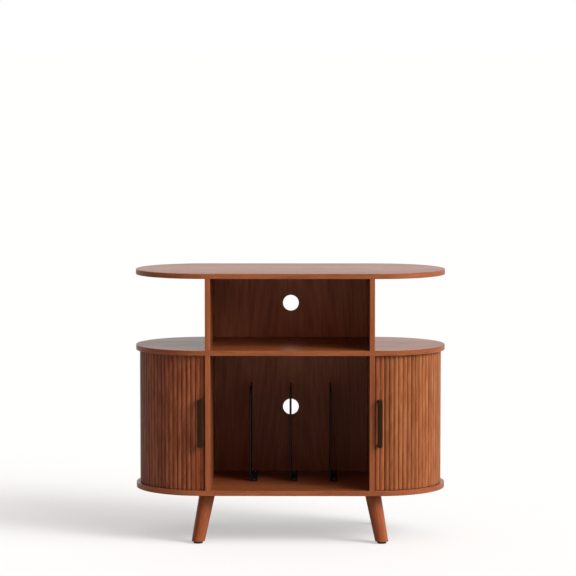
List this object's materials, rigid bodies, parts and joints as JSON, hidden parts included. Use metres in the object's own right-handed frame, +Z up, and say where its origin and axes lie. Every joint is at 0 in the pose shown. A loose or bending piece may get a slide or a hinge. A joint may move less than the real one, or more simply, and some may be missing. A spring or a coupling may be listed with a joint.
{
  "type": "record player stand",
  "caption": "Oval record player stand: open turntable bay above a divided record bay, round end cupboards with sliding tambour doors, and splayed legs.",
  "frame": {"origin": "on the floor, in the middle of the area that the stand covers, handles included", "axes": "+X to the right as seen from the front, along the oval boards; +Y from the front to the back; +Z up"},
  "size_m": [0.8998, 0.413, 0.78],
  "materials": {
    "lacquered_wood": "walnut-toned veneer under satin lacquer, grain along the boards",
    "tambour_wood": "reeded slats, walnut-toned satin lacquer, grain upright",
    "back_wood": "thin veneered board, grain upright, satin",
    "leg_wood": "turned solid wood, walnut-toned satin lacquer",
    "bronze_handle": "dark bronze, satin",
    "black_steel": "black powder coat, matt",
    "zinc_steel": "zinc plated",
    "beech_dowel": "plain beech",
    "black_pad": "matt black",
    "backing_cloth": "plain woven cotton"
  },
  "bodies": {
    "carcass": {"top_board": "lacquered_wood", "middle_board": "lacquered_wood", "bottom_board": "lacquered_wood", "upper_side_left": "lacquered_wood", "upper_side_right": "lacquered_wood", "partition_left": "lacquered_wood", "partition_right": "lacquered_wood", "rear_wall_left": "back_wood", "rear_wall_right": "back_wood", "upper_back": "back_wood", "lower_back": "back_wood", "record_divider_left": "black_steel", "record_divider_centre": "black_steel", "record_divider_right": "black_steel", "leg_front_left": "leg_wood", "foot_pad_front_left": "black_pad", "leg_front_right": "leg_wood", "foot_pad_front_right": "black_pad", "leg_rear_left": "leg_wood", "foot_pad_rear_left": "black_pad", "leg_rear_right": "leg_wood", "foot_pad_rear_right": "black_pad", "dowels": "beech_dowel", "through_dowels": "beech_dowel", "carcass_screws": "zinc_steel", "back_screws": "zinc_steel", "record_divider_screws": "zinc_steel", "hanger_bolts": "zinc_steel", "leg_inserts": "zinc_steel"},
    "left_door": {"door_stile_left": "tambour_wood", "door_slats_left": "tambour_wood", "door_cloth_left": "backing_cloth", "door_handle_left": "bronze_handle", "handle_screws_left": "zinc_steel"},
    "right_door": {"door_stile_right": "tambour_wood", "door_slats_right": "tambour_wood", "door_cloth_right": "backing_cloth", "door_handle_right": "bronze_handle", "handle_screws_right": "zinc_steel"}
  },
  "joints": [
    {"name": "left_door_slide", "type": "hinge", "parent": "carcass", "child": "left_door", "pos_m": [-0.25, 0.0065, 0], "axis": [0, 0, -1], "range_deg": [0, 86]},
    {"name": "right_door_slide", "type": "hinge", "parent": "carcass", "child": "right_door", "pos_m": [0.25, 0.0065, 0], "axis": [0, 0, 1], "range_deg": [0, 86]}
  ]
}
